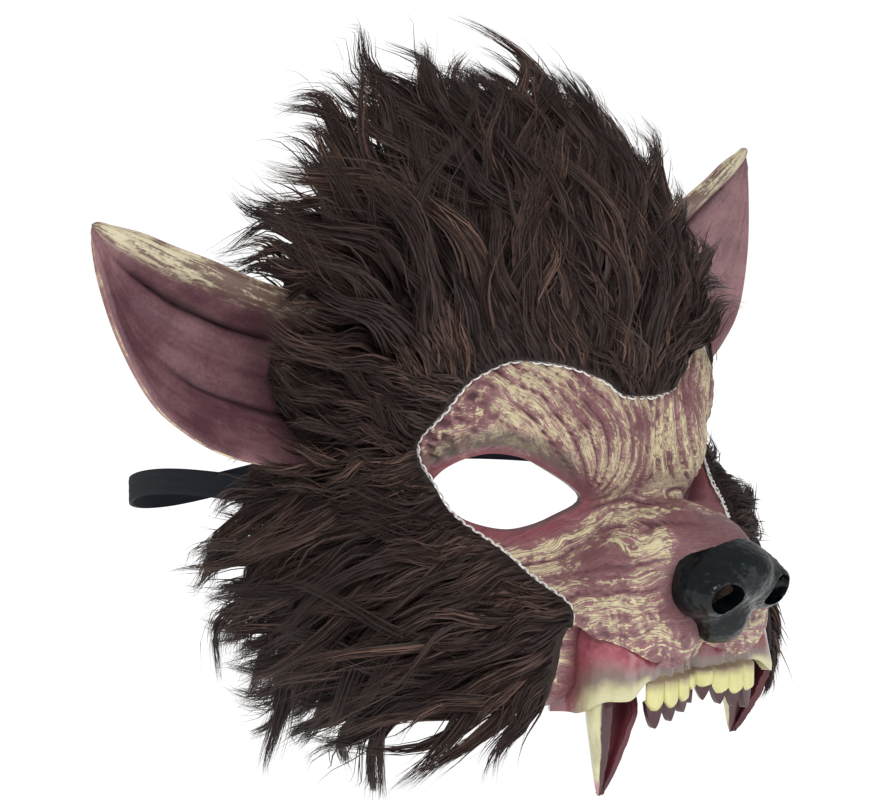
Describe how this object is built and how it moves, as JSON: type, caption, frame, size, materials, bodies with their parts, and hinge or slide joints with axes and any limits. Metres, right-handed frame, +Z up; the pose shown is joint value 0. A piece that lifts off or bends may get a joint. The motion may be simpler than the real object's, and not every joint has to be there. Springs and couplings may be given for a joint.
{
  "type": "werewolf mask",
  "caption": "Werewolf half mask of painted latex with fur, long ears, fangs and an elastic head strap.",
  "frame": {"origin": "midway between the wearer's eyes, where the mask sits on the face", "axes": "+Z up the head, -Y the way the mask faces, +X towards the wearer's left"},
  "size_m": [0.2667, 0.2554, 0.2222],
  "materials": {
    "painted_latex": "plum latex dry-brushed with cream on the raised wrinkles",
    "nose_gloss": "glossy black paint over pebbled latex",
    "gum_gloss": "wet-look pink paint",
    "tooth_paint": "glossy cream paint with a bare maroon margin",
    "ear_latex": "mauve latex with cream streaks on the back",
    "fur": "long dark brown pile on a knit backing",
    "elastic": "black ribbed elastic",
    "rivet": "black"
  },
  "bodies": {
    "root": {"mask_shell": "painted_latex", "nose": "nose_gloss", "gum_band": "gum_gloss", "upper_teeth": "tooth_paint", "fang_right": "tooth_paint", "fang_left": "tooth_paint", "ear_right": "ear_latex", "ear_left": "ear_latex", "crown_fur": "fur", "cheek_fur_right": "fur", "cheek_fur_left": "fur", "head_strap": "elastic", "strap_rivet_right": "rivet", "strap_rivet_left": "rivet"}
  },
  "joints": []
}
